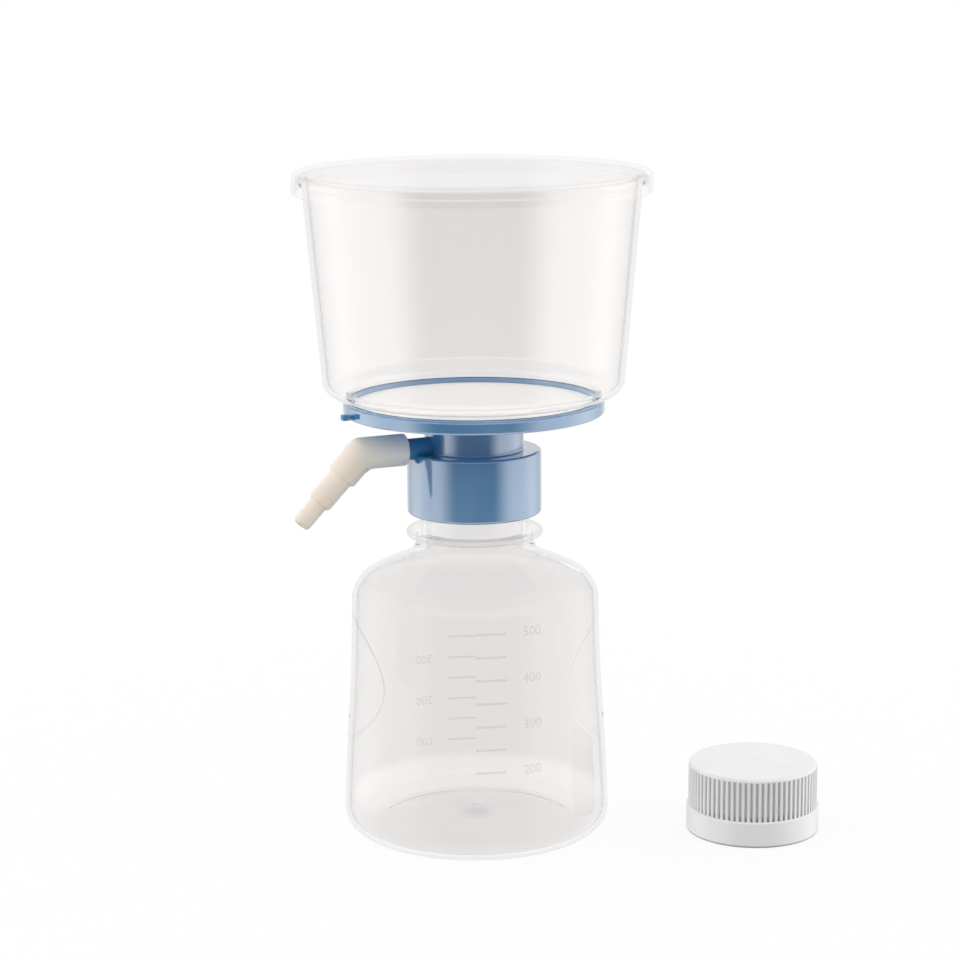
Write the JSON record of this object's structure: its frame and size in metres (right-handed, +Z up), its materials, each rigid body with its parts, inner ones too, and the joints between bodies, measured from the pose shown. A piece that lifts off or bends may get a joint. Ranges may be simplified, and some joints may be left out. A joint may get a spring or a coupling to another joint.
{
  "type": "vacuum filtration unit",
  "caption": "Disposable lab vacuum filtration unit: clear lidded funnel on a blue filter base with a hose port, screwed on a clear receiver bottle, with its storage cap.",
  "frame": {"origin": "on the receiver bottle's axis, in the plane of its foot ring", "axes": "+Z up along the bottle's axis; -Y is the front, from which the hose port points left and slightly forward; the storage cap stands at +X"},
  "size_m": [0.184, 0.1244, 0.2345],
  "materials": {
    "clear_polystyrene": "clear, glossy",
    "frosted_polystyrene": "clear, slightly frosted",
    "blue_plastic": "semi-gloss, slightly translucent",
    "membrane_white": "matt, finely porous",
    "adapter_cream": "soft, satin",
    "seal_white": "soft, satin",
    "cap_white": "satin",
    "liner_foam": "matt foam",
    "cotton": "fibrous"
  },
  "bodies": {
    "receiver": {"receiver_bottle": "clear_polystyrene", "storage_cap": "cap_white", "cap_liner": "liner_foam"},
    "seal": {"neck_seal": "seal_white"},
    "filter_head": {"filter_base": "blue_plastic", "membrane": "membrane_white", "port_plug": "cotton", "funnel": "clear_polystyrene"},
    "cover": {"lid": "frosted_polystyrene"},
    "adapter": {"hose_adapter": "adapter_cream"}
  },
  "joints": [
    {"name": "head_lift", "type": "slide", "parent": "receiver", "child": "seal", "axis": [0, 0, 1], "range_m": [0, 0.00635]},
    {"name": "head_unscrew", "type": "hinge", "parent": "seal", "child": "filter_head", "pos_m": [0, 0, 0.13], "axis": [0, 0, 1], "range_deg": [0, 540]},
    {"name": "lid_lift", "type": "slide", "parent": "filter_head", "child": "cover", "axis": [0, 0, 1], "range_m": [0, 0.05]},
    {"name": "adapter_swivel", "type": "hinge", "parent": "filter_head", "child": "adapter", "pos_m": [-0.02741, -0.0122, 0.139], "axis": [-0.9135, -0.4067, 0], "range_deg": [-135, 135]}
  ],
  "couplings": [
    {"joint": "head_lift", "follows": "head_unscrew", "m_per_rad": 0.00067323}
  ]
}
